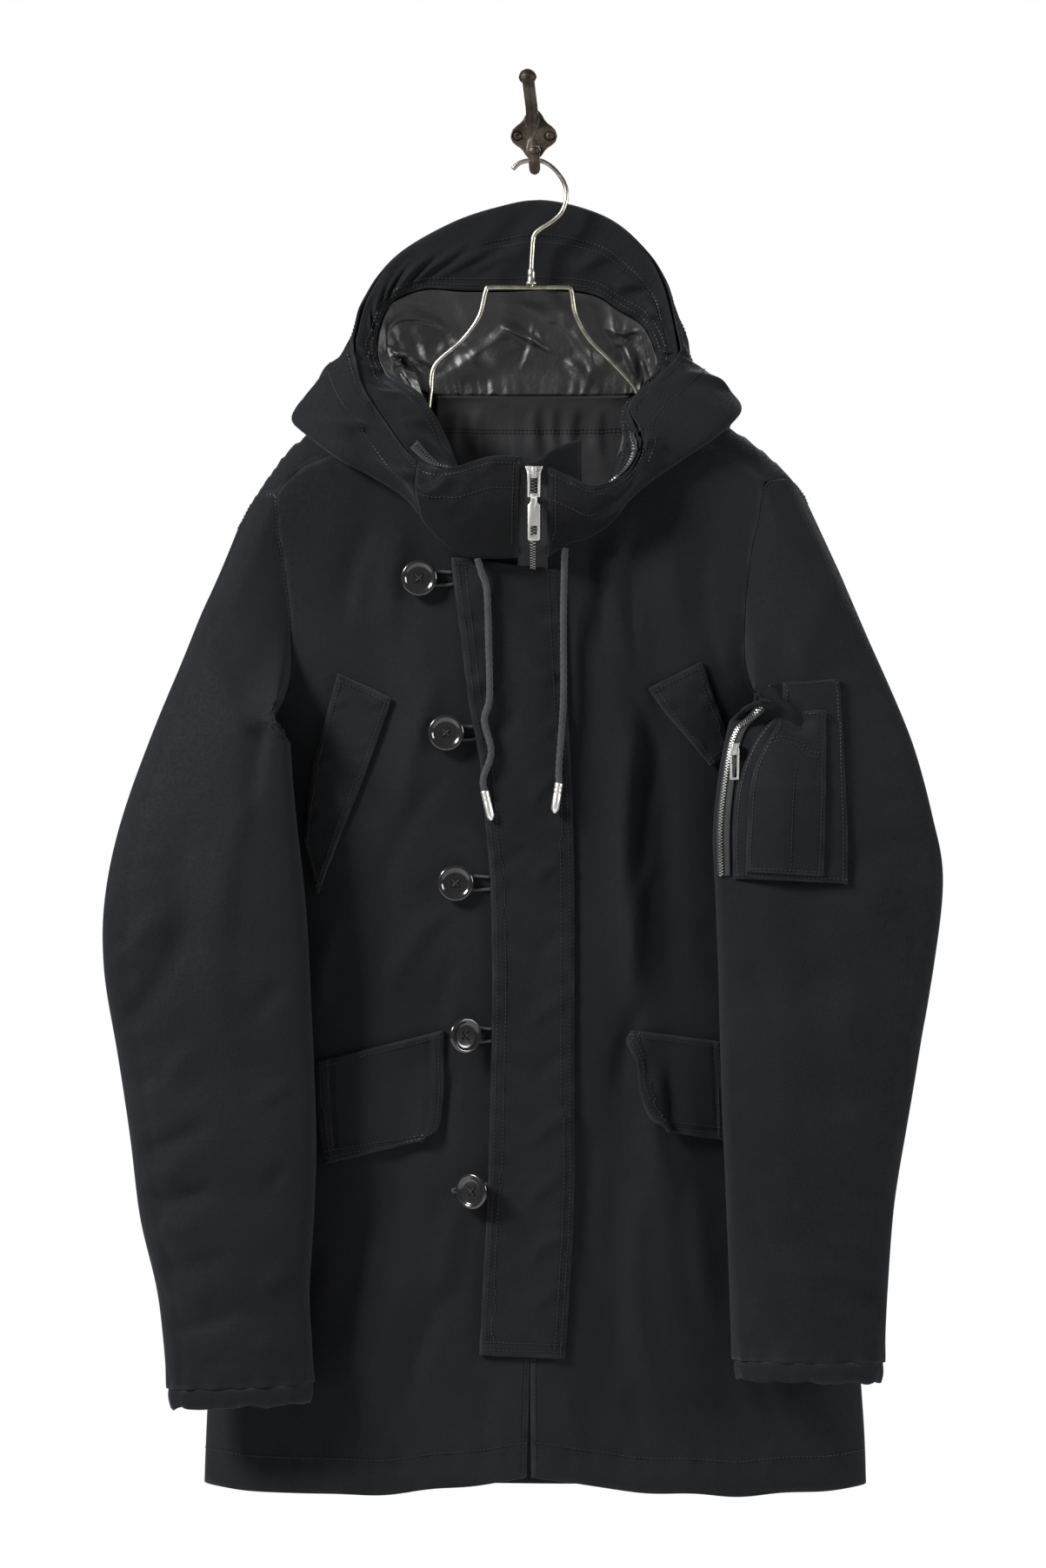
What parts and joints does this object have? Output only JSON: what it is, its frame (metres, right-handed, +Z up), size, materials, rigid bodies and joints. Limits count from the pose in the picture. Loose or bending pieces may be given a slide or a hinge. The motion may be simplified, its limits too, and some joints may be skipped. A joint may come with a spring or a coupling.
{
  "type": "hooded parka coat on a hanger and wall hook",
  "caption": "Dark hooded parka with a looped placket, drawcords, flapped pockets and a zipped sleeve pocket, on a wire hanger over a cast wall hook.",
  "frame": {"origin": "middle of the flat back of the wall hook's plate, on the wall", "axes": "+Z up, -Y out from the wall towards the viewer, +X towards the wearer's left"},
  "size_m": [0.644, 0.1338, 1.107],
  "materials": {
    "twill": "matte black cotton twill",
    "satin": "glossy charcoal satin",
    "braid": "dark braided cord and zip tape",
    "nickel": "bright plated metal",
    "wire": "dull plated wire",
    "iron": "dark brown cast metal",
    "horn": "glossy black"
  },
  "bodies": {
    "coat": {"back": "twill", "front_right": "twill", "front_left": "twill", "sleeve_right": "twill", "sleeve_left": "twill", "cuff_right": "twill", "cuff_left": "twill", "collar_right": "twill", "collar_left": "twill", "hood_right": "twill", "hood_left": "twill", "hood_facing": "twill", "wind_flap": "twill", "placket": "twill", "chest_welt_right": "twill", "chest_welt_left": "twill", "lower_flap_right": "twill", "lower_flap_left": "twill", "sleeve_pocket": "twill", "sleeve_pen_panel": "twill", "hood_lining": "satin", "neck_lining": "satin", "upper_zip_right": "braid", "upper_zip_left": "braid", "front_zip_tape": "braid", "drawcord_right": "braid", "drawcord_left": "braid", "sleeve_zip_tape": "braid", "button_loop_1": "braid", "button_loop_2": "braid", "button_loop_3": "braid", "button_loop_4": "braid", "button_loop_5": "braid", "cord_tip_right": "nickel", "cord_tip_left": "nickel", "zip_slider": "nickel", "sleeve_zip_slider": "nickel", "hanger": "wire", "hanger_ferrule": "wire", "wall_hook": "iron", "screw_right": "iron", "screw_left": "iron", "button_1": "horn", "button_2": "horn", "button_3": "horn", "button_4": "horn", "button_5": "horn"},
    "pull_link": {"zip_pull_link": "nickel"},
    "pull_tab": {"zip_pull_tab": "nickel"},
    "sleeve_pull": {"sleeve_zip_pull": "nickel"}
  },
  "joints": [
    {"name": "pull_link_hinge", "type": "hinge", "parent": "coat", "child": "pull_link", "pos_m": [-0.0003, -0.1097, -0.2715], "axis": [1, 0, 0], "range_deg": [-80, 0]},
    {"name": "pull_tab_hinge", "type": "hinge", "parent": "pull_link", "child": "pull_tab", "pos_m": [-0.0003, -0.1097, -0.2899], "axis": [1, 0, 0], "range_deg": [-60, 0]},
    {"name": "sleeve_pull_hinge", "type": "hinge", "parent": "coat", "child": "sleeve_pull", "pos_m": [0.1525, -0.12086, -0.4835], "axis": [1, 0, 0], "range_deg": [-80, 0]}
  ]
}
